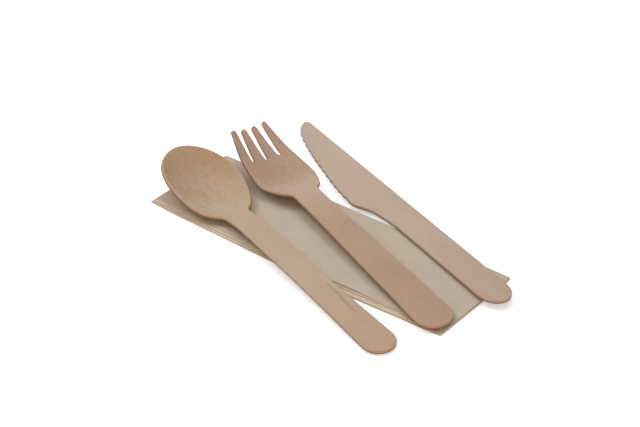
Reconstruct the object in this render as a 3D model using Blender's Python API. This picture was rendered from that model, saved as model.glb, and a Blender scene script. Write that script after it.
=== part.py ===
"""Wooden cutlery set: a spoon, a fork and a knife lying on a folded paper napkin.

Each utensil is one piece of veneer. The spoon and the fork are cut out flat and their
heads are then pressed into shape, so the wood has the same thickness all over. The napkin
is one sheet, folded to and fro into a strip. The middle of the napkin's underside is at
the origin, and its long side runs along +X.
"""
import math

import bmesh
import bpy

# Napkin
NAPKIN_LENGTH = 0.1541
NAPKIN_WIDTH = 0.0488
NAPKIN_THICKNESS = 0.0013
PANEL_GAP = 0.00004
FRONT_SETBACKS = (0.0005, 0.0, 0.0014, 0.0032)
FRONT_BOW = 0.0019
LAYER_SHIFT = 0.0014
LAYER_SHIFT_POWER = 8
BULGE_HEIGHT = 0.0010
BULGE_X = 0.0315
BULGE_HALF_LENGTH = 0.0150
BULGE_DEPTH = 0.0080

# Veneer, and the gap under resting pieces
VENEER = 0.0016
REST_GAP = 0.0003

# Spoon: the bowl's floor is (distance past the neck's end, depth)
SPOON_LENGTH = 0.1588
SPOON_END_WIDTH = 0.0150
SPOON_NECK_WIDTH = 0.0118
SPOON_NECK_AT = 0.0712
BOWL_WIDTH = 0.0316
BOWL_LENGTH = 0.0506
BOWL_FLOOR = ((-0.011, 0.0), (0.009, 0.00387), (0.020, 0.0044), (0.035, 0.00273))
BOWL_TIP_RISE = 0.0048
BOWL_RIM_START = -0.013
BOWL_NECK_DIP = 0.0016
BOWL_DIP_AT = 0.006
BOWL_SIDE_RISE = 0.0020
BOWL_FULLNESS = 2.1
NECK_FILLET = 0.0012
SPOON_END_XY = (0.0680, -0.0452)
SPOON_HEADING = 163.2

# Fork
FORK_LENGTH = 0.1553
FORK_END_WIDTH = 0.0170
FORK_WAIST_WIDTH = 0.0150
FORK_WAIST_AT = 0.0414
FORK_NECK_WIDTH = 0.0123
FORK_NECK_AT = 0.1040
FORK_HEAD_WIDTH = 0.0264
SHOULDER_FROM_NECK = 0.0174
NECK_FLARE_LENGTH = 0.0054
NECK_FLARE = 0.0036
FORK_ROOT_WIDTH = 0.0236
FORK_TIP_SPAN = 0.0168
SLOT_LENGTH = 0.0174
SLOT_ROOT_WIDTH = 0.0019
SLOT_MOUTH_WIDTH = 0.0026
OUTER_SLOT_ROOT_OFFSET = 0.0064
OUTER_SLOT_MOUTH_OFFSET = 0.0050
TINE_TIP_ROUND = 0.00075
TINE_TIP_LENGTH = 0.0011
HEAD_PRESS_DEPTH = 0.0054
DEEPEST_FROM_NECK = 0.0165
ROOT_DEPTH = 0.0026
TINE_RISE = 0.0043
SHOULDER_DIP = 0.0020
ROOT_RIM_DIP = 0.0007
TIP_CUPPING = 0.0014
HEAD_FULLNESS = 2.0
FORK_END_XY = (0.0763, -0.0207)
FORK_HEADING = 160.0

# Knife: the heel is (distance past the blade's start, widening), the cutting edge is
# (distance before the tip, width)
KNIFE_LENGTH = 0.1647
KNIFE_HANDLE_WIDTH = 0.0146
KNIFE_HANDLE_CAP = 0.0088
BLADE_LENGTH = 0.0975
HEEL = ((0.0, 0.0), (0.0143, 0.0020), (0.0260, 0.0067))
CUTTING_EDGE = ((0.0675, 0.0212), (0.0400, 0.0171), (0.0150, 0.0113), (0.0045, 0.0069))
TIP_RADIUS = 0.0022
SERRATION_PITCH = 0.0047
SERRATION_DEPTH = 0.00045
SERRATION_COUNT = 13
SERRATION_START = 0.0085
KNIFE_END_XY = (0.0860, 0.0073)
KNIFE_HEADING = 159.8

# Mesh fineness, and the samples that find where a pressed head touches down
POINT_WIDTH = 0.000001
NAPKIN_STATIONS = 32
TURN_STEPS = 4
HANDLE_ROW_STEP = 0.0075
HEAD_ROW_STEP = 0.0020
COLUMNS = 14
ARC_STEPS = 6
TOOTH_STEPS = 6
BOWL_TIP_STEPS = 14
BULGE_STEPS = 4
REST_SAMPLES = 100
REST_ROUNDS = 8


def clear_scene():
    for obj in list(bpy.data.objects):
        bpy.data.objects.remove(obj, do_unlink=True)


def new_material(name, colour, roughness):
    material = bpy.data.materials.new(name)
    material.use_nodes = True
    shader = material.node_tree.nodes["Principled BSDF"]
    shader.inputs["Base Color"].default_value = (*colour, 1.0)
    shader.inputs["Roughness"].default_value = roughness
    shader.inputs["Metallic"].default_value = 0.0
    material.diffuse_color = (*colour, 1.0)
    return material


def new_object(name, mesh, material):
    obj = bpy.data.objects.new(name, mesh)
    bpy.context.scene.collection.objects.link(obj)
    mesh.materials.append(material)
    return obj


def finished_mesh(name, bm):
    bmesh.ops.recalc_face_normals(bm, faces=bm.faces)
    mesh = bpy.data.meshes.new(name)
    bm.to_mesh(mesh)
    bm.free()
    return mesh


def extruded_mesh(name, outline, low, high):
    """A flat plate with the given outline between two heights."""
    bm = bmesh.new()
    face = bm.faces.new([bm.verts.new((x, y, low)) for x, y in outline])
    extruded = bmesh.ops.extrude_face_region(bm, geom=[face])
    moved = [item for item in extruded["geom"] if isinstance(item, bmesh.types.BMVert)]
    bmesh.ops.translate(bm, verts=moved, vec=(0.0, 0.0, high - low))
    return finished_mesh(name, bm)


def quarter_turn():
    """The angles of a quarter circle, ends included."""
    return [math.pi / 2 * i / ARC_STEPS for i in range(ARC_STEPS + 1)]


def smooth_curve(stations):
    """A smooth curve through (x, value) stations that never overshoots them."""
    xs = [x for x, _ in stations]
    values = [value for _, value in stations]
    spans = [b - a for a, b in zip(xs, xs[1:])]
    rises = [(b - a) / span for a, b, span in zip(values, values[1:], spans)]
    slopes = [rises[0]]
    for left, right in zip(rises, rises[1:]):
        slopes.append(2 * left * right / (left + right) if left * right > 0 else 0.0)
    slopes.append(rises[-1])

    def value_at(x):
        x = min(max(x, xs[0]), xs[-1])
        i = max(k for k in range(len(spans)) if x >= xs[k])
        t = (x - xs[i]) / spans[i]
        start = (1 + 2 * t) * (1 - t) ** 2 * values[i] + t * (1 - t) ** 2 * slopes[i] * spans[i]
        end = t * t * (3 - 2 * t) * values[i + 1] - t * t * (1 - t) * slopes[i + 1] * spans[i]
        return start + end

    return value_at


def round_share(along):
    """Half-width share of a rounded end, 0 at its tip and 1 where the end is over."""
    along = min(max(along, 0.0), 1.0)
    return math.sqrt(along * (2 - along))


def rounded_end_rows(cap):
    """Row positions over a rounded end of length cap, closer together at the tip."""
    return [cap * (1 - math.cos(angle)) for angle in quarter_turn()[:-1]]


def spaced_rows(start, end, step):
    count = max(1, round((end - start) / step))
    return [start + (end - start) * i / count for i in range(count)]


def pressed_sheet(name, rows, half_width, centre_line, rim_line, fullness):
    """The upper face of a pressed blank, lofted through rows across its length.

    centre_line and rim_line give the height along the middle and along the outline.
    """
    bm = bmesh.new()
    lines = []
    for x in rows:
        half = half_width(x)
        middle = centre_line(x)
        rise = rim_line(x) - middle
        line = []
        if half < POINT_WIDTH:
            line.append(bm.verts.new((x, 0.0, middle + rise)))
        else:
            for j in range(COLUMNS + 1):
                across = math.sin(math.pi * (j / COLUMNS - 0.5))
                height = middle + rise * abs(across) ** fullness
                line.append(bm.verts.new((x, half * across, height)))
        lines.append(line)
    for near, far in zip(lines, lines[1:]):
        if len(near) == 1:
            for a, b in zip(far, far[1:]):
                bm.faces.new((near[0], a, b))
        elif len(far) == 1:
            for a, b in zip(near, near[1:]):
                bm.faces.new((a, far[0], b))
        else:
            for j in range(COLUMNS):
                bm.faces.new((near[j], far[j], far[j + 1], near[j + 1]))
    mesh = finished_mesh(name, bm)
    if sum(polygon.normal.z for polygon in mesh.polygons) < 0:
        mesh.flip_normals()
    mesh.shade_smooth()
    return mesh


def add_veneer(obj):
    """Thicken a pressed face downwards to the veneer's thickness."""
    solidify = obj.modifiers.new("veneer", "SOLIDIFY")
    solidify.thickness = VENEER
    solidify.offset = -1.0
    solidify.use_even_offset = True
    solidify.use_rim = True


def settle(centre_line, head_start, head_end, handle_height, head_height):
    """Tilt and lift that rest a pressed utensil on its handle's end and its head."""
    samples = spaced_rows(head_start, head_end, (head_end - head_start) / REST_SAMPLES)
    tilt = 0.0
    for _ in range(REST_ROUNDS):
        heights = [(x * math.sin(tilt) + centre_line(x) * math.cos(tilt), x) for x in samples]
        lowest = min(heights)[1]
        drop = centre_line(lowest)
        rise = (head_height - handle_height) / math.hypot(lowest, drop)
        tilt = math.asin(rise) - math.atan2(drop, lowest)
    return tilt, handle_height + VENEER * math.cos(tilt)


def place(obj, xy, heading, tilt, lift):
    obj.location = (xy[0], xy[1], lift)
    obj.rotation_euler = (0.0, -tilt, math.radians(heading))


def napkin_front(x, setback):
    """Position of a front fold or edge: the strip's front side is slightly bowed."""
    along = 2 * x / NAPKIN_LENGTH
    return setback - NAPKIN_WIDTH / 2 - FRONT_BOW * (1 - along * along)


def bulge(x, inwards):
    """Height by which the top panel stands off the stack, inwards from its free edge."""
    along = (x - BULGE_X) / BULGE_HALF_LENGTH
    share = max(0.0, 1 - along * along) * max(0.0, 1 - inwards / BULGE_DEPTH)
    return BULGE_HEIGHT * share * share


def napkin_section(x):
    """Section of the folded sheet: along one face of its zigzag and back along the other."""
    panels = 2 * len(FRONT_SETBACKS) - 2
    pitch = (NAPKIN_THICKNESS + PANEL_GAP) / panels
    sheet = pitch - PANEL_GAP
    left = []
    right = []
    for panel in range(panels):
        side = 1 if panel % 2 == 0 else -1
        height = panel * pitch + sheet / 2
        front = napkin_front(x, FRONT_SETBACKS[(panel + 1) // 2]) + pitch
        back = NAPKIN_WIDTH / 2 - pitch
        points = [(front, height), (back, height)][::side]
        if panel == panels - 1:
            steps = [BULGE_DEPTH * i / BULGE_STEPS for i in range(BULGE_STEPS, -1, -1)]
            points = points[:1] + [(front + step, height + bulge(x, step)) for step in steps]
        for y, z in points:
            left.append((y, z + side * sheet / 2))
            right.append((y, z - side * sheet / 2))
        if panel == panels - 1:
            break
        for i in range(1, TURN_STEPS):
            angle = math.pi * i / TURN_STEPS
            for edge, offset in ((left, -side * sheet / 2), (right, side * sheet / 2)):
                radius = pitch / 2 + offset
                y = points[1][0] + side * radius * math.sin(angle)
                edge.append((y, height + pitch / 2 - radius * math.cos(angle)))
    return left + right[::-1]


def build_napkin():
    bm = bmesh.new()
    rings = []
    for i in range(NAPKIN_STATIONS + 1):
        along = 2 * i / NAPKIN_STATIONS - 1
        x = along * NAPKIN_LENGTH / 2
        lean = LAYER_SHIFT / NAPKIN_THICKNESS * max(0.0, -along) ** LAYER_SHIFT_POWER
        rings.append([bm.verts.new((x + lean * z, y, z)) for y, z in napkin_section(x)])
    count = len(rings[0])
    for near, far in zip(rings, rings[1:]):
        for j in range(count):
            k = (j + 1) % count
            bm.faces.new((near[j], near[k], far[k], far[j]))
    bm.faces.new(rings[0][::-1])
    bm.faces.new(rings[-1])
    mesh = finished_mesh("napkin", bm)
    return new_object("napkin", mesh, new_material("napkin_paper", (0.50, 0.43, 0.33), 0.95))


def build_spoon():
    cap = SPOON_END_WIDTH / 2
    reach = BOWL_LENGTH / 2
    bowl_centre = SPOON_LENGTH - reach
    neck_end = SPOON_LENGTH - BOWL_LENGTH
    taper = smooth_curve((
        (0.0, SPOON_END_WIDTH / 2),
        (SPOON_NECK_AT, SPOON_NECK_WIDTH / 2),
        (neck_end, SPOON_NECK_WIDTH / 2),
    ))

    def half_width(x):
        along = (x - bowl_centre) / reach
        bowl = BOWL_WIDTH / 2 * math.sqrt(max(0.0, 1 - along * along))
        handle = taper(x) * round_share(x / cap)
        if x <= neck_end:
            return handle
        if x >= bowl_centre:
            return bowl
        return 0.5 * (handle + bowl + math.hypot(handle - bowl, NECK_FILLET))

    floor = [(neck_end + past, -depth) for past, depth in BOWL_FLOOR]
    centre_line = smooth_curve([(0.0, 0.0)] + floor + [(SPOON_LENGTH, BOWL_TIP_RISE)])
    rim_line = smooth_curve((
        (0.0, 0.0),
        (neck_end + BOWL_RIM_START, 0.0),
        (neck_end + BOWL_DIP_AT, -BOWL_NECK_DIP),
        (bowl_centre, BOWL_SIDE_RISE),
        (SPOON_LENGTH, BOWL_TIP_RISE),
    ))
    bend_start = neck_end + BOWL_RIM_START
    rows = rounded_end_rows(cap) + spaced_rows(cap, bend_start, HANDLE_ROW_STEP)
    rows += spaced_rows(bend_start, bowl_centre, HEAD_ROW_STEP)
    tip_angles = spaced_rows(0.0, math.pi / 2, math.pi / 2 / BOWL_TIP_STEPS)
    rows += [bowl_centre + reach * math.sin(angle) for angle in tip_angles] + [SPOON_LENGTH]
    mesh = pressed_sheet("spoon", rows, half_width, centre_line, rim_line, BOWL_FULLNESS)
    spoon = new_object("spoon", mesh, new_material("spoon_birch", (0.47, 0.35, 0.23), 0.7))
    add_veneer(spoon)
    tilt, lift = settle(
        centre_line, neck_end, SPOON_LENGTH, REST_GAP, NAPKIN_THICKNESS + REST_GAP
    )
    place(spoon, SPOON_END_XY, SPOON_HEADING, tilt, lift)
    return spoon


def slot_outline(root_offset, mouth_offset):
    """Outline of the gap between two tines, flared at its mouth to round the tine tips."""
    root = FORK_LENGTH - SLOT_LENGTH
    radius = SLOT_ROOT_WIDTH / 2
    mouth = SLOT_MOUTH_WIDTH / 2
    flare = FORK_LENGTH - TINE_TIP_LENGTH
    side = []
    for angle in quarter_turn():
        side.append((root + radius - radius * math.cos(angle), radius * math.sin(angle)))
    for angle in quarter_turn():
        widening = TINE_TIP_ROUND * (1 - math.cos(angle))
        side.append((flare + TINE_TIP_LENGTH * math.sin(angle), mouth + widening))
    side.append((FORK_LENGTH + 2 * VENEER, mouth + TINE_TIP_ROUND))

    def middle(x):
        return root_offset + (mouth_offset - root_offset) * (x - root) / SLOT_LENGTH

    upper = [(x, middle(x) + half) for x, half in side]
    lower = [(x, middle(x) - half) for x, half in reversed(side[1:])]
    return upper + lower


def slot_cutter(name, root_offset, mouth_offset):
    outline = slot_outline(root_offset, mouth_offset)
    mesh = extruded_mesh(name, outline, -2 * HEAD_PRESS_DEPTH, 2 * HEAD_PRESS_DEPTH)
    cutter = bpy.data.objects.new(name, mesh)
    bpy.context.scene.collection.objects.link(cutter)
    cutter.hide_render = True
    cutter.display_type = "WIRE"
    return cutter


def build_fork():
    cap = FORK_END_WIDTH / 2
    shoulder = FORK_NECK_AT + SHOULDER_FROM_NECK
    slot_root = FORK_LENGTH - SLOT_LENGTH
    tip_start = FORK_LENGTH - TINE_TIP_LENGTH
    edge = smooth_curve((
        (0.0, FORK_END_WIDTH / 2),
        (FORK_WAIST_AT, FORK_WAIST_WIDTH / 2),
        (FORK_NECK_AT, FORK_NECK_WIDTH / 2),
        (FORK_NECK_AT + NECK_FLARE_LENGTH, FORK_NECK_WIDTH / 2 + NECK_FLARE),
        (shoulder, FORK_HEAD_WIDTH / 2),
        (slot_root, FORK_ROOT_WIDTH / 2),
        (FORK_LENGTH, FORK_TIP_SPAN / 2),
    ))

    def half_width(x):
        into_tip = (x - tip_start) / TINE_TIP_LENGTH
        rounding = TINE_TIP_ROUND * (1 - round_share(1 - into_tip))
        return edge(x) * round_share(x / cap) - rounding

    centre_line = smooth_curve((
        (0.0, 0.0),
        (FORK_NECK_AT, 0.0),
        (FORK_NECK_AT + DEEPEST_FROM_NECK, -HEAD_PRESS_DEPTH),
        (slot_root, -ROOT_DEPTH),
        (FORK_LENGTH, TINE_RISE),
    ))
    rim_line = smooth_curve((
        (0.0, 0.0),
        (FORK_NECK_AT, 0.0),
        (shoulder, -SHOULDER_DIP),
        (slot_root, -ROOT_RIM_DIP),
        (FORK_LENGTH, TINE_RISE + TIP_CUPPING),
    ))
    rows = rounded_end_rows(cap) + spaced_rows(cap, FORK_NECK_AT, HANDLE_ROW_STEP)
    rows += spaced_rows(FORK_NECK_AT, tip_start, HEAD_ROW_STEP)
    rows += [FORK_LENGTH - TINE_TIP_LENGTH * (1 - math.sin(angle)) for angle in quarter_turn()]
    mesh = pressed_sheet("fork", rows, half_width, centre_line, rim_line, HEAD_FULLNESS)
    fork = new_object("fork", mesh, new_material("fork_birch", (0.45, 0.31, 0.22), 0.7))
    add_veneer(fork)
    resting_height = NAPKIN_THICKNESS + REST_GAP
    tilt, lift = settle(centre_line, FORK_NECK_AT, FORK_LENGTH, resting_height, resting_height)
    place(fork, FORK_END_XY, FORK_HEADING, tilt, lift)
    for side, name in ((1, "slot_left"), (0, "slot_middle"), (-1, "slot_right")):
        cutter = slot_cutter(name, side * OUTER_SLOT_ROOT_OFFSET, side * OUTER_SLOT_MOUTH_OFFSET)
        place(cutter, FORK_END_XY, FORK_HEADING, tilt, lift)
        cut = fork.modifiers.new(name, "BOOLEAN")
        cut.operation = "DIFFERENCE"
        cut.solver = "EXACT"
        cut.object = cutter
    return fork


def knife_outline():
    """Outline of the flat knife: straight back, rounded ends and a serrated edge."""
    half_handle = KNIFE_HANDLE_WIDTH / 2
    blade_start = KNIFE_LENGTH - BLADE_LENGTH
    teeth_start = KNIFE_LENGTH - SERRATION_START
    teeth_end = teeth_start - SERRATION_COUNT * SERRATION_PITCH
    outline = []
    for angle in quarter_turn()[:-1]:
        x = KNIFE_HANDLE_CAP * (1 - math.sin(angle))
        outline.append((x, half_handle * math.cos(angle)))
    for angle in quarter_turn():
        x = KNIFE_HANDLE_CAP * (1 - math.cos(angle))
        outline.append((x, -half_handle * math.sin(angle)))
    for angle in quarter_turn():
        x = KNIFE_LENGTH - TIP_RADIUS * (1 - math.sin(angle))
        outline.append((x, TIP_RADIUS * (1 - math.cos(angle)) - half_handle))
    heel = [(blade_start + past, half_handle + widening) for past, widening in HEEL]
    blade = [(KNIFE_LENGTH - before, width - half_handle) for before, width in CUTTING_EDGE]
    edge = smooth_curve(heel + blade + [(KNIFE_LENGTH, TIP_RADIUS - half_handle)])
    shares = spaced_rows(0.0, 1.0, 1 / ARC_STEPS)[1:]
    samples = [KNIFE_LENGTH - SERRATION_START * share * share for share in shares]
    samples += spaced_rows(teeth_start, teeth_end, -SERRATION_PITCH / TOOTH_STEPS)
    samples += spaced_rows(teeth_end, blade_start, -HEAD_ROW_STEP) + [blade_start]
    for x in samples:
        phase = (teeth_start - x) / SERRATION_PITCH % 1.0
        scallop = SERRATION_DEPTH * (1 - (2 * phase - 1) ** 2)
        in_teeth = teeth_end < x < teeth_start
        outline.append((x, edge(x) - (scallop if in_teeth else 0.0)))
    return outline


def build_knife():
    """The knife lies on the strip's back side and leans with its tip to the table."""
    mesh = extruded_mesh("knife", knife_outline(), 0.0, VENEER)
    knife = new_object("knife", mesh, new_material("knife_birch", (0.53, 0.39, 0.30), 0.7))
    heading = math.radians(KNIFE_HEADING)
    edge_y = NAPKIN_WIDTH / 2
    tip_y = KNIFE_END_XY[1] + KNIFE_LENGTH * math.sin(heading) + KNIFE_HANDLE_WIDTH / 2
    rest = bpy.data.objects.new("knife_rest", None)
    bpy.context.scene.collection.objects.link(rest)
    rest.location = (0.0, edge_y, NAPKIN_THICKNESS + REST_GAP)
    rest.rotation_euler = (-math.asin(NAPKIN_THICKNESS / (tip_y - edge_y)), 0.0, 0.0)
    knife.parent = rest
    knife.location = (KNIFE_END_XY[0], KNIFE_END_XY[1] - edge_y, 0.0)
    knife.rotation_euler = (0.0, 0.0, heading)
    return knife


clear_scene()
build_napkin()
build_spoon()
build_fork()
build_knife()
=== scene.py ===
"""Looks of the wooden cutlery set: pressed veneer pieces, a folded napkin and a pale studio.

Every piece is rebuilt finer than its CAD node, in the same frame and at the same size.
Lengths are in metres. A utensil's own +X runs along the grain, from handle end to head.
"""
import math

import bmesh
import bpy
import numpy as np
from mathutils import Euler, Matrix, Vector, geometry, noise


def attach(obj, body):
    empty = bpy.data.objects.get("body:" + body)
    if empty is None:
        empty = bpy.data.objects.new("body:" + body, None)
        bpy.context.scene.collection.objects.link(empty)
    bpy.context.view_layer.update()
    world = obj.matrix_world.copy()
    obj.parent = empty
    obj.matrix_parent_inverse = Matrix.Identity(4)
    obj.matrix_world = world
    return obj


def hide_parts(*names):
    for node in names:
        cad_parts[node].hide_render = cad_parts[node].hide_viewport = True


# Napkin strip: the front edges and folds, lowest first, lie back from the lowest by a setback
# at mid-length and by a skew more at the handles' end, and all bow outwards
NAPKIN_LENGTH = 0.1541
NAPKIN_WIDTH = 0.0488
NAPKIN_THICKNESS = 0.0013
PANEL_GAP = 0.00002
FRONT_SETBACKS = (0.0, 0.0004, 0.0022, 0.0032)
FRONT_SKEWS = (0.0, 0.0, 0.0010, 0.0)
FRONT_BOW = 0.0019

# Napkin folds: powers below 1 square a fold's round, and a panel thins towards its front
FOLD_SQUARENESS = 0.45
FOLD_THINNING = 0.15
FOLD_SOFTNESS = 0.0028
# Painted light on the front folds below the top panel: its reach behind their edge, how sharply
# it fades there, and the height it stays under
PAINTED_FOLD_LIGHT_WIDTH = 0.0030
PAINTED_FOLD_LIGHT_FADE = 3
PAINTED_FOLD_LIGHT_TOP = 0.84 * NAPKIN_THICKNESS
SHARP_FOLD_ANGLE = 40

# Napkin layers, whose ends under the heads step back with height. The power keeps the shift
# near that end
LAYER_SHIFT = 0.0014
LAYER_SHIFT_POWER = 8

# Place where the top panel stands off the others, and the curl of its free edge there
BULGE_HEIGHT = 0.0010
BULGE_X = 0.0315
BULGE_HALF_LENGTH = 0.0150
BULGE_DEPTH = 0.0080
CURL_LENGTH = 0.0016
CURL_GAP = 0.12

# Veneer, its eased edge, and the gap under resting pieces. The edge is drawn by rings that lie
# inwards by shares of its round. The outermost rings of both sides take the cut wall's tint,
# which is partly the wood's own colour and partly painted shade, and those of the underside
# also carry a painted contact shadow at the wall's foot
VENEER = 0.0016
EDGE_ROUND = 0.00032
EDGE_RINGS = (0.0, 0.12, 0.35, 0.65, 1.0, 1.5)
CUT_RINGS = 2
PAINTED_SHADOW_RINGS = 3
REST_GAP = 0.0003

# Spoon: the bowl's floor is (distance past the neck's end, depth)
SPOON_LENGTH = 0.1588
SPOON_END_WIDTH = 0.0150
SPOON_NECK_WIDTH = 0.0118
SPOON_NECK_AT = 0.0712
BOWL_WIDTH = 0.0316
BOWL_LENGTH = 0.0506
BOWL_FLOOR = ((-0.011, 0.0), (0.009, 0.00387), (0.020, 0.0044), (0.035, 0.00273))
BOWL_TIP_RISE = 0.0048
BOWL_RIM_START = -0.013
BOWL_NECK_DIP = 0.0016
BOWL_DIP_AT = 0.006
BOWL_SIDE_RISE = 0.0020
BOWL_FULLNESS = 2.1
NECK_FILLET = 0.0012
SPOON_END_XY = (0.0680, -0.0452)
SPOON_HEADING = 163.2

# Hairline split in the spoon's handle, as (x, y) points in its blank
SPLIT = (
    (0.0235, -0.0029),
    (0.0283, -0.0029),
    (0.0343, -0.0033),
    (0.0413, -0.0038),
    (0.0480, -0.0040),
)
SPLIT_DEPTH = 0.0007
SPLIT_HALF_WIDTH = 0.00024

# Fork
FORK_LENGTH = 0.1553
FORK_END_WIDTH = 0.0170
FORK_WAIST_WIDTH = 0.0150
FORK_WAIST_AT = 0.0414
FORK_NECK_WIDTH = 0.0123
FORK_NECK_AT = 0.1040
FORK_HEAD_WIDTH = 0.0264
SHOULDER_FROM_NECK = 0.0174
NECK_FLARE_LENGTH = 0.0054
NECK_FLARE = 0.0036
FORK_ROOT_WIDTH = 0.0236
FORK_TIP_SPAN = 0.0168
SLOT_LENGTH = 0.0174
SLOT_ROOT_WIDTH = 0.0013
SLOT_MOUTH_WIDTH = 0.0026
OUTER_SLOT_ROOT_OFFSET = 0.0064
OUTER_SLOT_MOUTH_OFFSET = 0.0050
TINE_TIP_LENGTH = 0.0013
HEAD_PRESS_DEPTH = 0.0054
DEEPEST_FROM_NECK = 0.0165
ROOT_DEPTH = 0.0026
TINE_RISE = 0.0043
SHOULDER_DIP = 0.0020
ROOT_RIM_DIP = 0.0007
TIP_CUPPING = 0.0014
HEAD_FULLNESS = 2.0
FORK_END_XY = (0.0763, -0.0207)
FORK_HEADING = 160.0

# Knife: the heel is (distance past the blade's start, widening), the cutting edge is
# (distance before the tip, width)
KNIFE_LENGTH = 0.1647
KNIFE_HANDLE_WIDTH = 0.0146
KNIFE_HANDLE_CAP = 0.0088
BLADE_LENGTH = 0.0975
HEEL = ((0.0, 0.0), (0.0143, 0.0020), (0.0260, 0.0067))
CUTTING_EDGE = ((0.0675, 0.0212), (0.0400, 0.0171), (0.0150, 0.0113), (0.0045, 0.0069))
TIP_RADIUS = 0.0022
SERRATION_PITCH = 0.0047
SERRATION_DEPTH = 0.00045
SERRATION_COUNT = 13
SERRATION_START = 0.0085
KNIFE_END_XY = (0.0860, 0.0073)
KNIFE_HEADING = 159.8

# Small unevenness of real wood and paper: heights, then how many waves go into a metre
EDGE_UNEVENNESS = 0.00004
FOLD_WAVER = 0.00025
PANEL_WAVE = 0.00010
EDGE_UNEVENNESS_RATE = 120
FOLD_WAVER_RATE = 40
PANEL_WAVE_RATE = 55
FOLD_WAVER_SPACING = 9.0

# Mesh fineness, and how finely a resting tilt is worked out
OUTLINE_STEP = 0.00035
GRID_STEP = 0.0009
GRID_CLEARANCE = 0.5 * GRID_STEP
PROFILE_STEP = 0.00015
ARC_POINTS = 25
SLOT_ARC_POINTS = 19
BLADE_CROWDING = 1.5
SPLIT_POINTS = 60
NAPKIN_STATIONS = 160
PANEL_STEPS = 24
PANEL_CROWDING = 1.8
TURN_STEPS = 8
SETTLE_SAMPLES = 101
SETTLE_ROUNDS = 8

# Wood colours: a direction in the blank, then (distance along it, colour) stops. They are
# partly the wood's own tone and partly painted light and shade: the fork is painted lighter
# where its neck slopes down into the head and darker past it, and the spoon's bowl darker
# towards its tip
SPOON_TONES_AND_SHADING = ((0.82, -0.57, 0.0), (
    (0.000, (0.492, 0.348, 0.243)),
    (0.045, (0.501, 0.376, 0.273)),
    (0.095, (0.493, 0.372, 0.272)),
    (0.108, (0.461, 0.332, 0.220)),
    (0.130, (0.443, 0.289, 0.174)),
))
FORK_TONES_AND_SHADING = ((0.97, -0.24, 0.0), (
    (0.000, (0.445, 0.301, 0.217)),
    (0.070, (0.440, 0.302, 0.224)),
    (0.108, (0.510, 0.369, 0.283)),
    (0.126, (0.430, 0.288, 0.202)),
    (0.150, (0.425, 0.281, 0.218)),
))
KNIFE_TONES = ((1.0, 0.0, 0.0), (
    (0.000, (0.490, 0.362, 0.278)),
    (0.080, (0.509, 0.395, 0.315)),
    (0.160, (0.509, 0.397, 0.317)),
))
# Cut walls: a tint that is partly the cut wood's own colour and partly painted shade
CUT_WALL_AND_SHADE_TINT = (1.0, 0.89, 0.81, 1.0)
# A painted contact shadow at the foot of the cut walls and on the split's floor, fading in over
# the lower part of the wall
PAINTED_SHADOW_TINT = (0.45, 0.38, 0.31, 1.0)
PAINTED_SHADOW_FADE = ((0.50, 0.0), (0.95, 1.0))

# Wood figure: a noise is (waves a metre along each axis of the blank, detail, roughness) and
# its shades are (noise, shade) stops
BLOTCH_NOISE = ((38, 95, 95), 3.0, 0.55)
BLOTCH_SHADES = ((0.35, 1.035), (0.68, 0.955))
FIBRE_NOISE = ((70, 1500, 1500), 5.0, 0.6)
FIBRE_SHADES = ((0.30, 0.935), (0.70, 1.04))
FIBRE_ROUGHNESS = ((0.2, 0.62), (0.8, 0.78))
FIBRE_BUMP = {"Strength": 0.35, "Distance": 0.00006}
MOTTLE_NOISE = ((330, 620, 620), 3.0, 0.55)
MOTTLE_SHADES = ((0.35, 0.93), (0.65, 1.05))
PORE_NOISE = ((380, 1500, 1500), 3.0, 0.6)
PORE_SHADES = ((0.28, 0.72), (0.38, 1.0))
WOOD_SPECULAR = 0.35

# Strength of the figure on the handle and on the head, and where it changes over
SPOON_FIGURE = (0.30, 1.0)
FORK_FIGURE = (0.35, 0.75)
KNIFE_FIGURE = (0.25, 0.25)
HEAD_FIGURE_FROM = 0.097
HEAD_FIGURE_FULL = 0.118

# Tissue
TISSUE_PALE = (0.545, 0.466, 0.382, 1.0)
TISSUE_DARK = (0.508, 0.427, 0.343, 1.0)
# Painted light on the front folds, a lighter tint where light from the front falls
PAINTED_FOLD_LIGHT_TINT = (1.16, 1.12, 1.05, 1.0)
CLOUD_NOISE = ((120, 120, 120), 4.0, 0.55)
CLOUD_SHARES = ((0.3, 0.0), (0.7, 1.0))
FUZZ_NOISE = ((2200, 900, 2200), 3.0, 0.6)
FUZZ_SHADES = ((0.26, 0.82), (0.36, 1.0))
FUZZ_STRENGTH = 0.6
FUZZ_BUMP = {"Strength": 0.4, "Distance": 0.00008}
TISSUE_ROUGHNESS = 0.95
TISSUE_SPECULAR = 0.1

# Camera, from the photograph: place, direction, and focal length in picture widths
CAMERA_PLACE = (0.3745, -0.4695, 0.4031)
CAMERA_DIRECTION = (-0.52468, 0.65428, -0.54464)
FOCAL_WIDTHS = 1724 / 640
CLIP_START = 0.01

# Light: a warm surround, and square soft lamps as (place, side, power, colour). The key hangs
# high behind the set, the side lamp stands beyond the heads, and the fill by the camera
AMBIENT = 0.38
AMBIENT_COLOUR = (1.0, 0.83, 0.68, 1.0)
LAMPS = {
    "key": ((-0.18, 0.34, 0.85), 0.60, 2.9, (0.97, 1.08, 1.18)),
    "side": ((-0.62, -0.12, 0.62), 0.50, 2.9, (0.97, 1.06, 1.14)),
    "fill": ((0.56, -0.70, 0.42), 0.90, 3.4, (1.0, 0.9, 0.8)),
}

# Floor, and the glow that brings it up to white for the camera
FLOOR_HALF_WIDTH = 3.0
FLOOR_SQUARES = 8
FLOOR_COLOUR = (0.86, 0.86, 0.86, 1.0)
FLOOR_ROUGHNESS = 0.9
FLOOR_LIFT = 0.41
FLOOR_LIFT_COLOUR = (0.97, 1.0, 1.03, 1.0)


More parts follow.
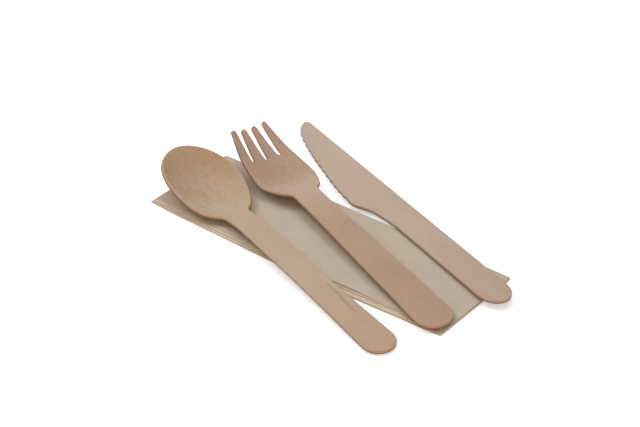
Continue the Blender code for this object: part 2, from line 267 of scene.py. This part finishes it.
def smooth_curve(stations):
    """A smooth curve through (x, value) stations that never overshoots them."""
    xs, values = (np.array(column) for column in zip(*stations))
    spans = np.diff(xs)
    rises = np.diff(values) / spans
    slopes = np.concatenate((rises[:1], np.zeros(len(xs) - 2), rises[-1:]))
    for i, (left, right) in enumerate(zip(rises, rises[1:]), start=1):
        if left * right > 0:
            slopes[i] = 2 * left * right / (left + right)

    def value_at(x):
        x = np.clip(x, xs[0], xs[-1])
        i = np.clip(np.searchsorted(xs, x, side="right") - 1, 0, len(spans) - 1)
        t = (x - xs[i]) / spans[i]
        start = (1 + 2 * t) * (1 - t) ** 2 * values[i] + t * (1 - t) ** 2 * slopes[i] * spans[i]
        end = t * t * (3 - 2 * t) * values[i + 1] - t * t * (1 - t) * slopes[i + 1] * spans[i]
        return start + end

    return value_at


def round_share(along):
    """Half-width share of a rounded end, 0 at its tip and 1 where the end is over."""
    along = np.clip(along, 0.0, 1.0)
    return np.sqrt(along * (2 - along))


def end_spaced(start, end):
    """Positions from start to end, finer towards both, for outlines with rounded ends."""
    count = int((end - start) / PROFILE_STEP)
    return start + (end - start) * (1 - np.cos(np.linspace(0, math.pi, count))) / 2


def resampled(points, step):
    """A closed outline's points at an even spacing, anticlockwise."""
    points = np.asarray(points)
    closed = np.vstack((points, points[:1]))
    lengths = np.hypot(*np.diff(closed, axis=0).T)
    keep = np.concatenate(([True], lengths > 1e-9))
    closed = closed[keep]
    along = np.concatenate(([0.0], np.cumsum(lengths[keep[1:]])))
    stops = np.linspace(0, along[-1], int(along[-1] / step), endpoint=False)
    even = np.stack([np.interp(stops, along, closed[:, k]) for k in (0, 1)], axis=1)
    x, y = even.T
    area = np.sum(x * np.roll(y, -1) - y * np.roll(x, -1))
    return even if area > 0 else even[::-1]


def inset(outline, distance):
    """An anticlockwise outline moved inwards by a small distance."""
    ahead = np.roll(outline, -1, axis=0) - np.roll(outline, 1, axis=0)
    inwards = np.stack((-ahead[:, 1], ahead[:, 0]), axis=1)
    inwards /= np.hypot(*inwards.T)[:, None]
    return outline + inwards * np.reshape(distance, (-1, 1))


def inside(points, outline):
    """Which points lie inside a closed outline."""
    result = np.zeros(len(points), bool)
    x, y = points.T
    for (x0, y0), (x1, y1) in zip(outline, np.roll(outline, -1, axis=0)):
        crosses = (y0 > y) != (y1 > y)
        if crosses.any():
            result ^= crosses & (x < x0 + (y - y0) * (x1 - x0) / (y1 - y0 + 1e-15))
    return result


def nearest(points, others):
    """Distance from each point to the nearest of the others."""
    gaps = [np.hypot(*(others - point).T).min() for point in points]
    return np.array(gaps)


def grid_points(outline, clear_of):
    """Points on an even grid inside an outline, clear of it and of other points."""
    low, high = outline.min(axis=0), outline.max(axis=0)
    xs = np.arange(low[0], high[0], GRID_STEP)
    ys = np.arange(low[1], high[1], GRID_STEP)
    grid = np.stack(np.meshgrid(xs, ys), axis=-1)
    grid[1::2, :, 0] += GRID_STEP / 2
    grid = grid.reshape(-1, 2)
    grid = grid[inside(grid, outline)]
    return grid[nearest(grid, np.vstack((outline, clear_of))) > GRID_CLEARANCE]


def filled(ring, loose, lines):
    """Triangles inside a ring that use all its points and the loose ones and keep lines."""
    inside_only = 1
    tolerance = 1e-6
    millimetres = [Vector(point * 1000) for point in np.vstack((ring, loose))]
    border = [list(range(len(ring)))]
    result = geometry.delaunay_2d_cdt(millimetres, lines, border, inside_only, tolerance)
    sources = [source[0] for source in result[3]]
    return [[sources[i] for i in triangle] for triangle in result[2]]


def split_lines(path):
    """Bottom line and two lips of a fine split that closes at both ends."""
    path = np.array(path)
    stops = np.linspace(0, len(path) - 1, SPLIT_POINTS)
    line = np.stack([np.interp(stops, range(len(path)), path[:, k]) for k in (0, 1)], axis=1)
    ahead = np.gradient(line, axis=0)
    across = np.stack((-ahead[:, 1], ahead[:, 0]), axis=1) / np.hypot(*ahead.T)[:, None]
    opening = SPLIT_HALF_WIDTH * np.sin(math.pi * stops / stops[-1])[:, None]
    return [(line + across * opening * side)[1:-1] for side in (0, -1, 1)]


def surface_frame(height, points):
    """Places on the height function and its upward normals, at flat (x, y) points."""
    x, y = points.T
    step = 1e-5
    slope_x = (height(x + step, y) - height(x - step, y)) / (2 * step)
    slope_y = (height(x, y + step) - height(x, y - step)) / (2 * step)
    normals = np.stack((-slope_x, -slope_y, np.ones(len(x))), axis=1)
    normals /= np.linalg.norm(normals, axis=1)[:, None]
    return np.column_stack((x, y, height(x, y))), normals


def plate_faces(triangles, count, rings, total):
    """Faces of a plate: top triangles and edge rings, the same below, and the cut wall."""
    inner = (rings - 1) * count
    faces = [[inner + i for i in triangle] for triangle in triangles]
    for ring in range(rings - 1):
        for i in range(count):
            k = (i + 1) % count
            a, b = ring * count + i, ring * count + k
            faces.append([a, b, b + count, a + count])
    under = [[total + i for i in reversed(face)] for face in faces]
    wall = [[i, i + total, (i + 1) % count + total, (i + 1) % count] for i in range(count)]
    return faces + under + wall


def add_shares(mesh, name, shares):
    """A number between 0 and 1 kept on each point for the material."""
    mesh.attributes.new(name, "FLOAT", "POINT").data.foreach_set("value", shares)


def new_piece(mesh):
    """An object whose mesh remembers each point's place in the blank for its material."""
    places = np.empty(3 * len(mesh.vertices))
    mesh.vertices.foreach_get("co", places)
    mesh.attributes.new("grain", "FLOAT_VECTOR", "POINT").data.foreach_set("vector", places)
    piece = bpy.data.objects.new(mesh.name, mesh)
    bpy.context.scene.collection.objects.link(piece)
    return piece


def veneer_piece(name, outline, height, split=None):
    """A plate of even thickness under a height function, with eased edges all round."""
    outline = resampled(outline, OUTLINE_STEP)
    bumps = [1 + noise.noise(Vector((x, y, 0.0)) * EDGE_UNEVENNESS_RATE) for x, y in outline]
    outline = inset(outline, EDGE_UNEVENNESS * np.array(bumps))
    count = len(outline)
    rings = [inset(outline, EDGE_ROUND * share) for share in EDGE_RINGS]
    drops = [np.full(count, EDGE_ROUND * (1 - round_share(share))) for share in EDGE_RINGS]

    marks = split_lines(split) if split else [np.empty((0, 2))]
    marked = np.vstack(marks)
    loose = np.vstack((marked, grid_points(rings[-1], marked)))
    lines = []
    for k, mark in enumerate(marks):
        first = count + k * len(mark)
        lines += [(i, i + 1) for i in range(first, first + len(mark) - 1)]
    triangles = filled(rings[-1], loose, lines)
    split_floor = len(marks[0])
    sunk = np.zeros(len(loose))
    sunk[:split_floor] = SPLIT_DEPTH * np.sin(np.linspace(0, math.pi, split_floor))

    places, normals = surface_frame(height, np.vstack(rings + [loose]))
    drop = np.concatenate(drops + [np.zeros(len(loose))])[:, None]
    dent = np.concatenate([np.zeros(count * len(rings)), sunk])[:, None]
    top = places - normals * (drop + dent)
    bottom = places - normals * (VENEER - drop)
    total = len(places)
    mesh = bpy.data.meshes.new(name)
    faces = plate_faces(triangles, count, len(rings), total)
    mesh.from_pydata(np.vstack((top, bottom)).tolist(), [], faces)
    mesh.validate()
    mesh.shade_smooth()

    # The cut wall's rings, for a tint that is partly painted shade
    cut = np.zeros(2 * total)
    cut[:CUT_RINGS * count] = 1.0
    cut[total:total + CUT_RINGS * count] = 1.0
    add_shares(mesh, "cut", cut)
    # A painted contact shadow along the underside's outermost rings, at the cut wall's foot
    painted_shadow = np.zeros(2 * total)
    painted_shadow[total:total + PAINTED_SHADOW_RINGS * count] = 1.0
    # The split's floor takes the same painted shadow
    first = count * len(rings)
    painted_shadow[first:first + split_floor] = 1.0
    add_shares(mesh, "painted_shadow", painted_shadow)
    return new_piece(mesh)


def pressed_height(half_width, centre_line, rim_line, fullness):
    """Height of a pressed blank over (x, y), from its middle line and its rim line."""
    def height(x, y):
        middle = centre_line(x)
        across = np.clip(np.abs(y) / np.maximum(half_width(x), 1e-7), 0.0, 1.0)
        return middle + (rim_line(x) - middle) * across ** fullness

    return height


def settle(centre_line, head_start, head_end, handle_height, head_height):
    """Tilt and lift that rest a pressed utensil on its handle's end and its head."""
    samples = np.linspace(head_start, head_end, SETTLE_SAMPLES)
    tilt = 0.0
    for _ in range(SETTLE_ROUNDS):
        heights = samples * math.sin(tilt) + centre_line(samples) * math.cos(tilt)
        lowest = samples[np.argmin(heights)]
        drop = float(centre_line(lowest))
        rise = (head_height - handle_height) / math.hypot(lowest, drop)
        tilt = math.asin(rise) - math.atan2(drop, lowest)
    return tilt, handle_height + VENEER * math.cos(tilt)


def place(piece, xy, heading, tilt, lift):
    """Moves a piece from its blank's axes to its handle's end and heading in the set."""
    turn = Euler((0.0, -tilt, math.radians(heading))).to_matrix().to_4x4()
    piece.data.transform(Matrix.Translation((*xy, lift)) @ turn)


def build_spoon():
    """The spoon rests with its handle's end on the table and its bowl on the napkin.

    Its neck is the wider of handle and bowl, with the corner between them rounded off.
    """
    cap = SPOON_END_WIDTH / 2
    reach = BOWL_LENGTH / 2
    bowl_centre = SPOON_LENGTH - reach
    neck_end = SPOON_LENGTH - BOWL_LENGTH
    taper = smooth_curve((
        (0.0, cap),
        (SPOON_NECK_AT, SPOON_NECK_WIDTH / 2),
        (neck_end, SPOON_NECK_WIDTH / 2),
    ))

    def half_width(x):
        along = np.clip((x - bowl_centre) / reach, -1.0, 1.0)
        bowl = BOWL_WIDTH / 2 * np.sqrt(1 - along * along)
        handle = taper(x) * round_share(x / cap)
        neck = 0.5 * (handle + bowl + np.hypot(handle - bowl, NECK_FILLET))
        return np.where(x <= neck_end, handle, np.where(x >= bowl_centre, bowl, neck))

    floor = [(neck_end + past, -depth) for past, depth in BOWL_FLOOR]
    centre_line = smooth_curve([(0.0, 0.0)] + floor + [(SPOON_LENGTH, BOWL_TIP_RISE)])
    rim_line = smooth_curve((
        (0.0, 0.0),
        (neck_end + BOWL_RIM_START, 0.0),
        (neck_end + BOWL_DIP_AT, -BOWL_NECK_DIP),
        (bowl_centre, BOWL_SIDE_RISE),
        (SPOON_LENGTH, BOWL_TIP_RISE),
    ))
    xs = end_spaced(0.0, SPOON_LENGTH)
    side = np.column_stack((xs, half_width(xs)))
    outline = np.vstack((side, side[-2:0:-1] * (1, -1)))
    height = pressed_height(half_width, centre_line, rim_line, BOWL_FULLNESS)
    spoon = veneer_piece("spoon_veneer", outline, height, SPLIT)
    tilt, lift = settle(
        centre_line, neck_end, SPOON_LENGTH, REST_GAP, NAPKIN_THICKNESS + REST_GAP
    )
    place(spoon, SPOON_END_XY, SPOON_HEADING, tilt, lift)
    return spoon


def tine_tip(upper, lower):
    """Points of one rounded tine tip, from its upper side over to its lower side."""
    angles = np.linspace(0, math.pi, ARC_POINTS)
    start = FORK_LENGTH - TINE_TIP_LENGTH
    across = (upper - lower) / 2 * np.cos(angles) + (upper + lower) / 2
    return np.column_stack((start + TINE_TIP_LENGTH * np.sin(angles), across))


def fork_outline(edge):
    """Outline of the fork: one side, four tine tips with three slots, the other side."""
    root = FORK_LENGTH - SLOT_LENGTH
    radius = SLOT_ROOT_WIDTH / 2
    tip_start = FORK_LENGTH - TINE_TIP_LENGTH
    angles = np.linspace(0, math.pi, SLOT_ARC_POINTS)
    xs = end_spaced(0.0, 2 * tip_start)
    xs = xs[xs <= tip_start]
    side = np.column_stack((xs, edge(xs)))
    parts = [side]
    upper = side[-1, 1]
    for slot in (1, 0, -1):
        at_root = slot * OUTER_SLOT_ROOT_OFFSET
        at_mouth = slot * OUTER_SLOT_MOUTH_OFFSET
        mouth = at_mouth + (at_root - at_mouth) * TINE_TIP_LENGTH / SLOT_LENGTH
        parts.append(tine_tip(upper, mouth + SLOT_MOUTH_WIDTH / 2))
        upper = mouth - SLOT_MOUTH_WIDTH / 2
        end = np.column_stack((radius - radius * np.sin(angles), radius * np.cos(angles)))
        parts.append(end + (root, at_root))
    parts.append(tine_tip(upper, -side[-1, 1]))
    parts.append(side[-2:0:-1] * (1, -1))
    return np.vstack(parts)


def build_fork():
    """The fork rests on the napkin with its handle's end and its head."""
    cap = FORK_END_WIDTH / 2
    shoulder = FORK_NECK_AT + SHOULDER_FROM_NECK
    slot_root = FORK_LENGTH - SLOT_LENGTH
    edge = smooth_curve((
        (0.0, cap),
        (FORK_WAIST_AT, FORK_WAIST_WIDTH / 2),
        (FORK_NECK_AT, FORK_NECK_WIDTH / 2),
        (FORK_NECK_AT + NECK_FLARE_LENGTH, FORK_NECK_WIDTH / 2 + NECK_FLARE),
        (shoulder, FORK_HEAD_WIDTH / 2),
        (slot_root, FORK_ROOT_WIDTH / 2),
        (FORK_LENGTH, FORK_TIP_SPAN / 2),
    ))

    def half_width(x):
        return edge(x) * round_share(x / cap)

    centre_line = smooth_curve((
        (0.0, 0.0),
        (FORK_NECK_AT, 0.0),
        (FORK_NECK_AT + DEEPEST_FROM_NECK, -HEAD_PRESS_DEPTH),
        (slot_root, -ROOT_DEPTH),
        (FORK_LENGTH, TINE_RISE),
    ))
    rim_line = smooth_curve((
        (0.0, 0.0),
        (FORK_NECK_AT, 0.0),
        (shoulder, -SHOULDER_DIP),
        (slot_root, -ROOT_RIM_DIP),
        (FORK_LENGTH, TINE_RISE + TIP_CUPPING),
    ))
    height = pressed_height(half_width, centre_line, rim_line, HEAD_FULLNESS)
    fork = veneer_piece("fork_veneer", fork_outline(half_width), height)
    resting_height = NAPKIN_THICKNESS + REST_GAP
    tilt, lift = settle(centre_line, FORK_NECK_AT, FORK_LENGTH, resting_height, resting_height)
    place(fork, FORK_END_XY, FORK_HEADING, tilt, lift)
    return fork


def knife_outline():
    """Outline of the flat knife: straight back, rounded ends and a serrated edge."""
    half_handle = KNIFE_HANDLE_WIDTH / 2
    blade_start = KNIFE_LENGTH - BLADE_LENGTH
    teeth_start = KNIFE_LENGTH - SERRATION_START
    teeth_end = teeth_start - SERRATION_COUNT * SERRATION_PITCH
    quarter = np.linspace(0, math.pi / 2, ARC_POINTS)
    end_x = KNIFE_HANDLE_CAP * (1 - np.sin(quarter))
    end_y = half_handle * np.cos(quarter)
    tip_x = KNIFE_LENGTH - TIP_RADIUS * (1 - np.sin(quarter))
    tip_y = TIP_RADIUS * (1 - np.cos(quarter)) - half_handle
    heel = [(blade_start + past, half_handle + widening) for past, widening in HEEL]
    blade = [(KNIFE_LENGTH - before, width - half_handle) for before, width in CUTTING_EDGE]
    edge = smooth_curve(heel + blade + [(KNIFE_LENGTH, TIP_RADIUS - half_handle)])
    shares = np.linspace(0, 1, int(BLADE_LENGTH / PROFILE_STEP)) ** BLADE_CROWDING
    xs = KNIFE_LENGTH - BLADE_LENGTH * shares
    phase = (teeth_start - xs) / SERRATION_PITCH % 1.0
    in_teeth = (xs > teeth_end) & (xs < teeth_start)
    scallops = np.where(in_teeth, SERRATION_DEPTH * (1 - (2 * phase - 1) ** 2), 0.0)
    return np.vstack((
        np.column_stack((end_x, end_y)),
        np.column_stack((end_x, -end_y))[-2::-1],
        np.column_stack((tip_x, tip_y)),
        np.column_stack((xs, edge(xs) - scallops))[1:],
    ))


def build_knife():
    """The knife lies on the strip's back side and leans with its tip to the table."""
    knife = veneer_piece("knife_veneer", knife_outline(), lambda x, y: np.full(len(x), VENEER))
    heading = math.radians(KNIFE_HEADING)
    edge_y = NAPKIN_WIDTH / 2
    tip_y = KNIFE_END_XY[1] + KNIFE_LENGTH * math.sin(heading) + KNIFE_HANDLE_WIDTH / 2
    lean = -math.asin(NAPKIN_THICKNESS / (tip_y - edge_y))
    ridge = Matrix.Translation((0.0, edge_y, NAPKIN_THICKNESS + REST_GAP))
    on_ridge = Matrix.Translation((KNIFE_END_XY[0], KNIFE_END_XY[1] - edge_y, 0.0))
    turns = Matrix.Rotation(lean, 4, "X"), Matrix.Rotation(heading, 4, "Z")
    knife.data.transform(ridge @ turns[0] @ on_ridge @ turns[1])
    return knife


def napkin_front(x, fold):
    """Position of a front fold or edge: slightly bowed, and not quite straight."""
    along = 2 * x / NAPKIN_LENGTH
    sample = Vector((x * FOLD_WAVER_RATE, fold * FOLD_WAVER_SPACING, 0.0))
    waver = FOLD_WAVER * noise.noise(sample)
    setback = FRONT_SETBACKS[fold] + FRONT_SKEWS[fold] * along
    return setback + waver - NAPKIN_WIDTH / 2 - FRONT_BOW * (1 - along * along)


def bulge(x, inwards):
    """Height by which the top panel stands off the stack, inwards from its curled free edge."""
    along = (x - BULGE_X) / BULGE_HALF_LENGTH
    share = max(0.0, 1 - along * along) * max(0.0, 1 - inwards / BULGE_DEPTH)
    curl = CURL_GAP + (1 - CURL_GAP) * float(round_share(inwards / CURL_LENGTH))
    return BULGE_HEIGHT * share * share * curl


def napkin_section(x):
    """Section of the folded sheet: along one face of its zigzag and back along the other."""
    panels = 2 * len(FRONT_SETBACKS) - 2
    pitch = (NAPKIN_THICKNESS + PANEL_GAP) / panels
    sheet = pitch - PANEL_GAP
    fronts = [napkin_front(x, (panel + 1) // 2) + pitch for panel in range(panels)]
    back = NAPKIN_WIDTH / 2 - pitch

    def thickness(panel, y):
        share = min(max((y - fronts[panel]) / FOLD_SOFTNESS, 0.0), 1.0)
        return sheet * (1 - FOLD_THINNING * (1 - share) ** 2)

    def middle(panel, y):
        below = sum(thickness(other, y) + PANEL_GAP for other in range(panel))
        lifted = bulge(x, y - fronts[panel]) if panel == panels - 1 else 0.0
        return below + thickness(panel, y) / 2 + lifted

    left = []
    right = []
    for panel in range(panels):
        side = 1 if panel % 2 == 0 else -1
        shares = [(i / PANEL_STEPS) ** PANEL_CROWDING for i in range(PANEL_STEPS + 1)][::side]
        for share in shares:
            y = fronts[panel] + (back - fronts[panel]) * share
            left.append((y, middle(panel, y) + side * thickness(panel, y) / 2))
            right.append((y, middle(panel, y) - side * thickness(panel, y) / 2))
        if panel == panels - 1:
            break
        low, high = middle(panel, y), middle(panel + 1, y)
        half = thickness(panel, y) / 2
        for i in range(1, TURN_STEPS):
            out = math.sin(math.pi * i / TURN_STEPS) ** FOLD_SQUARENESS
            up = -math.cos(math.pi * i / TURN_STEPS)
            up = math.copysign(abs(up) ** FOLD_SQUARENESS, up)
            for edge, offset in ((left, -side * half), (right, side * half)):
                radius = (high - low) / 2 + offset
                edge.append((y + side * radius * out, (low + high) / 2 + radius * up))
    return left + right[::-1]


def painted_fold_light_shares(mesh):
    """How far each point belongs to the softer front folds below the top panel, which are
    painted lighter as painted light.
    """
    shares = []
    for x, y, z in (vertex.co for vertex in mesh.vertices):
        inwards = (y - napkin_front(x, 1)) / PAINTED_FOLD_LIGHT_WIDTH
        share = min(max(PAINTED_FOLD_LIGHT_FADE * (1 - inwards), 0.0), 1.0)
        shares.append(share if z < PAINTED_FOLD_LIGHT_TOP else 0.0)
    return shares


def build_napkin():
    """The folded strip, as sections of its zigzag that follow its length."""
    bm = bmesh.new()
    rings = []
    for i in range(NAPKIN_STATIONS + 1):
        along = 2 * i / NAPKIN_STATIONS - 1
        x = along * NAPKIN_LENGTH / 2
        lean = LAYER_SHIFT / NAPKIN_THICKNESS * max(0.0, -along) ** LAYER_SHIFT_POWER
        ring = []
        for y, z in napkin_section(x):
            wave = PANEL_WAVE * noise.noise(Vector((x, y, 0.0)) * PANEL_WAVE_RATE)
            ring.append(bm.verts.new((x + lean * z, y, z + wave * z / NAPKIN_THICKNESS)))
        rings.append(ring)
    count = len(rings[0])
    for near, far in zip(rings, rings[1:]):
        for j in range(count):
            k = (j + 1) % count
            bm.faces.new((near[j], near[k], far[k], far[j]))
    bm.faces.new(rings[0][::-1])
    bm.faces.new(rings[-1])
    bmesh.ops.recalc_face_normals(bm, faces=bm.faces)
    mesh = bpy.data.meshes.new("napkin_tissue")
    bm.to_mesh(mesh)
    bm.free()
    mesh.shade_smooth()
    mesh.set_sharp_from_angle(angle=math.radians(SHARP_FOLD_ANGLE))
    # Painted light on the front folds below the top panel
    add_shares(mesh, "fold", painted_fold_light_shares(mesh))
    return new_piece(mesh)


def add_node(material, kind, inputs=(), **settings):
    """A new shader node with its settings and input values."""
    made = material.node_tree.nodes.new(kind)
    for name, value in settings.items():
        setattr(made, name, value)
    for name, value in dict(inputs).items():
        if isinstance(value, bpy.types.NodeSocket):
            material.node_tree.links.new(value, made.inputs[name])
        else:
            made.inputs[name].default_value = value
    return made


def kept_on_mesh(material, name, output="Fac"):
    """What the mesh keeps on its points under a name."""
    return add_node(material, "ShaderNodeAttribute", attribute_name=name).outputs[output]


def stretched_noise(material, scale, detail, roughness):
    """Noise with its own scale, in waves a metre, along each axis of the blank."""
    grain = kept_on_mesh(material, "grain", "Vector")
    mapping = add_node(material, "ShaderNodeMapping", {"Vector": grain, "Scale": scale})
    inputs = {
        "Vector": mapping.outputs["Vector"],
        "Scale": 1.0,
        "Detail": detail,
        "Roughness": roughness,
    }
    return add_node(material, "ShaderNodeTexNoise", inputs).outputs["Fac"]


def ramp(material, factor, stops, interpolation="LINEAR"):
    """A colour ramp over (position, grey or colour) stops."""
    made = add_node(material, "ShaderNodeValToRGB", {"Fac": factor})
    made.color_ramp.interpolation = interpolation
    elements = made.color_ramp.elements
    while len(elements) < len(stops):
        elements.new(0.5)
    for element, (position, colour) in zip(elements, stops):
        shades = (colour, colour, colour) if isinstance(colour, float) else colour
        element.position = position
        element.color = (*shades, 1.0)
    return made.outputs["Color"]


def mixed(material, factor, a, b, blend="MIX"):
    """Two colours mixed by a factor."""
    made = add_node(material, "ShaderNodeMix", data_type="RGBA", blend_type=blend)
    for socket, value in zip((made.inputs[0], made.inputs[6], made.inputs[7]), (factor, a, b)):
        if isinstance(value, bpy.types.NodeSocket):
            material.node_tree.links.new(value, socket)
        else:
            socket.default_value = value
    return made.outputs[2]


def add_bump(material, shader, height, settings):
    """Fine relief from a pattern on a shader's surface."""
    bump = add_node(material, "ShaderNodeBump", {"Height": height, **settings})
    material.node_tree.links.new(bump.outputs["Normal"], shader.inputs["Normal"])


def new_material(name, specular):
    """A material and its shader, with its own strength of reflection."""
    material = bpy.data.materials.new(name)
    material.use_nodes = True
    shader = material.node_tree.nodes["Principled BSDF"]
    shader.inputs["Specular IOR Level"].default_value = specular
    return material, shader


def tone_along(material, direction, stops):
    """Colour that changes smoothly through stops along a direction in the blank."""
    grain = kept_on_mesh(material, "grain", "Vector")
    along = add_node(material, "ShaderNodeVectorMath", operation="DOT_PRODUCT")
    material.node_tree.links.new(grain, along.inputs[0])
    along.inputs[1].default_value = direction
    reach = stops[-1][0]
    share = add_node(material, "ShaderNodeMapRange", {
        "Value": along.outputs["Value"], "From Max": reach,
    })
    shares = [(at / reach, colour) for at, colour in stops]
    return ramp(material, share.outputs["Result"], shares, "EASE")


def figure_share(material, on_handle, on_head):
    """Strength of the figure: pressing the head raises its fibres."""
    grain = kept_on_mesh(material, "grain", "Vector")
    along = add_node(material, "ShaderNodeSeparateXYZ", {"Vector": grain}).outputs["X"]
    strength = add_node(material, "ShaderNodeMapRange", {
        "Value": along, "From Min": HEAD_FIGURE_FROM, "From Max": HEAD_FIGURE_FULL,
        "To Min": on_handle, "To Max": on_head,
    })
    return strength.outputs["Result"]


def wood_material(name, tones, figure):
    """Bare birch veneer: blotches, fibres along +X, small pores, cut walls tinted partly as
    painted shade, with a painted shadow at their foot.
    """
    material, shader = new_material(name, WOOD_SPECULAR)
    links = material.node_tree.links
    figure = figure_share(material, *figure)
    fibres = stretched_noise(material, *FIBRE_NOISE)
    layers = (
        (1.0, stretched_noise(material, *BLOTCH_NOISE), BLOTCH_SHADES),
        (figure, fibres, FIBRE_SHADES),
        (figure, stretched_noise(material, *MOTTLE_NOISE), MOTTLE_SHADES),
        (figure, stretched_noise(material, *PORE_NOISE), PORE_SHADES),
    )
    colour = tone_along(material, *tones)
    for strength, pattern, shades in layers:
        colour = mixed(material, strength, colour, ramp(material, pattern, shades), "MULTIPLY")
    # The cut wall's tint: partly the wood's own colour, partly painted shade
    colour = mixed(material, kept_on_mesh(material, "cut"), colour, CUT_WALL_AND_SHADE_TINT, "MULTIPLY")
    # A painted contact shadow at the foot of the cut walls and on the split's floor
    painted_shadow = ramp(material, kept_on_mesh(material, "painted_shadow"), PAINTED_SHADOW_FADE)
    colour = mixed(material, painted_shadow, colour, PAINTED_SHADOW_TINT, "MULTIPLY")
    links.new(colour, shader.inputs["Base Color"])
    links.new(ramp(material, fibres, FIBRE_ROUGHNESS), shader.inputs["Roughness"])
    add_bump(material, shader, fibres, FIBRE_BUMP)
    return material


def tissue_material():
    """Unbleached tissue: even grey-beige with a faint cloudiness and short fibres."""
    material, shader = new_material("unbleached_tissue", TISSUE_SPECULAR)
    clouds = ramp(material, stretched_noise(material, *CLOUD_NOISE), CLOUD_SHARES)
    colour = mixed(material, clouds, TISSUE_PALE, TISSUE_DARK)
    fuzz = stretched_noise(material, *FUZZ_NOISE)
    specks = ramp(material, fuzz, FUZZ_SHADES)
    colour = mixed(material, FUZZ_STRENGTH, colour, specks, "MULTIPLY")
    # Painted light: the front folds below the top panel are tinted lighter
    colour = mixed(material, kept_on_mesh(material, "fold"), colour, PAINTED_FOLD_LIGHT_TINT, "MULTIPLY")
    material.node_tree.links.new(colour, shader.inputs["Base Color"])
    shader.inputs["Roughness"].default_value = TISSUE_ROUGHNESS
    add_bump(material, shader, fuzz, FUZZ_BUMP)
    return material


def build_floor():
    """A wide pale floor that shows white to the camera and still takes shadows."""
    bm = bmesh.new()
    bmesh.ops.create_grid(
        bm, x_segments=FLOOR_SQUARES, y_segments=FLOOR_SQUARES, size=FLOOR_HALF_WIDTH
    )
    mesh = bpy.data.meshes.new("floor")
    bm.to_mesh(mesh)
    bm.free()
    floor = bpy.data.objects.new("floor", mesh)
    bpy.context.scene.collection.objects.link(floor)
    material, shader = new_material("white_floor", 0.0)
    shader.inputs["Base Color"].default_value = FLOOR_COLOUR
    shader.inputs["Roughness"].default_value = FLOOR_ROUGHNESS
    shader.inputs["Emission Color"].default_value = FLOOR_LIFT_COLOUR
    seen = add_node(material, "ShaderNodeLightPath").outputs["Is Camera Ray"]
    glow = add_node(material, "ShaderNodeMath", operation="MULTIPLY")
    glow.inputs[1].default_value = FLOOR_LIFT
    links = material.node_tree.links
    links.new(seen, glow.inputs[0])
    links.new(glow.outputs[0], shader.inputs["Emission Strength"])
    mesh.materials.append(material)


def add_lamp(name, place_at, size, power, colour):
    """A square soft lamp that looks at the set's origin."""
    light = bpy.data.lights.new(name, "AREA")
    light.shape = "SQUARE"
    light.size = size
    light.energy = power
    light.color = colour
    lamp = bpy.data.objects.new(name, light)
    bpy.context.scene.collection.objects.link(lamp)
    lamp.location = place_at
    lamp.rotation_euler = (-Vector(place_at)).to_track_quat("-Z", "Y").to_euler()


def build_world():
    """An even warm surround, which the camera itself sees as white."""
    world = bpy.data.worlds.new("studio")
    bpy.context.scene.world = world
    world.use_nodes = True
    nodes = world.node_tree.nodes
    links = world.node_tree.links
    background = nodes["Background"]
    path = nodes.new("ShaderNodeLightPath")
    tint = nodes.new("ShaderNodeMix")
    tint.data_type = "RGBA"
    links.new(path.outputs["Is Camera Ray"], tint.inputs[0])
    tint.inputs[6].default_value = AMBIENT_COLOUR
    tint.inputs[7].default_value = (1.0, 1.0, 1.0, 1.0)
    links.new(tint.outputs[2], background.inputs["Color"])
    strength = nodes.new("ShaderNodeMapRange")
    links.new(path.outputs["Is Camera Ray"], strength.inputs["Value"])
    strength.inputs["To Min"].default_value = AMBIENT
    strength.inputs["To Max"].default_value = 1.0
    links.new(strength.outputs["Result"], background.inputs["Strength"])


def add_camera():
    """The camera at the photograph's own place, angle and width of view."""
    lens = bpy.data.cameras.new("camera")
    lens.sensor_width = 36.0
    lens.lens = lens.sensor_width * FOCAL_WIDTHS
    lens.clip_start = CLIP_START
    camera = bpy.data.objects.new("camera", lens)
    bpy.context.scene.collection.objects.link(camera)
    camera.location = CAMERA_PLACE
    camera.rotation_euler = Vector(CAMERA_DIRECTION).to_track_quat("-Z", "Y").to_euler()
    bpy.context.scene.camera = camera


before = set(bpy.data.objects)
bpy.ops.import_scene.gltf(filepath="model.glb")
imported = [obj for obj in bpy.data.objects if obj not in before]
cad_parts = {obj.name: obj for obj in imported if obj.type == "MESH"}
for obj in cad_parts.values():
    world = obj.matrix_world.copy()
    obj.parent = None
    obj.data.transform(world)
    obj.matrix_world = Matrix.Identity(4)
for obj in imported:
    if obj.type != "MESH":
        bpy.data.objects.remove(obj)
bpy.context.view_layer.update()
add_camera()

spoon_wood = wood_material("spoon_birch_veneer", SPOON_TONES_AND_SHADING, SPOON_FIGURE)
fork_wood = wood_material("fork_birch_veneer", FORK_TONES_AND_SHADING, FORK_FIGURE)
knife_wood = wood_material("knife_birch_veneer", KNIFE_TONES, KNIFE_FIGURE)
pieces = (
    (build_spoon(), "spoon", "spoon_birch", spoon_wood),
    (build_fork(), "fork", "fork_birch", fork_wood),
    (build_knife(), "knife", "knife_birch", knife_wood),
    (build_napkin(), "napkin", "napkin_paper", tissue_material()),
)
for piece, node, slot, material in pieces:
    piece.data.materials.append(material)
    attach(piece, "root")
    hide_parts(node)

build_floor()
build_world()
for name, settings in LAMPS.items():
    add_lamp(name, *settings)

bpy.context.scene.view_settings.view_transform = "Standard"
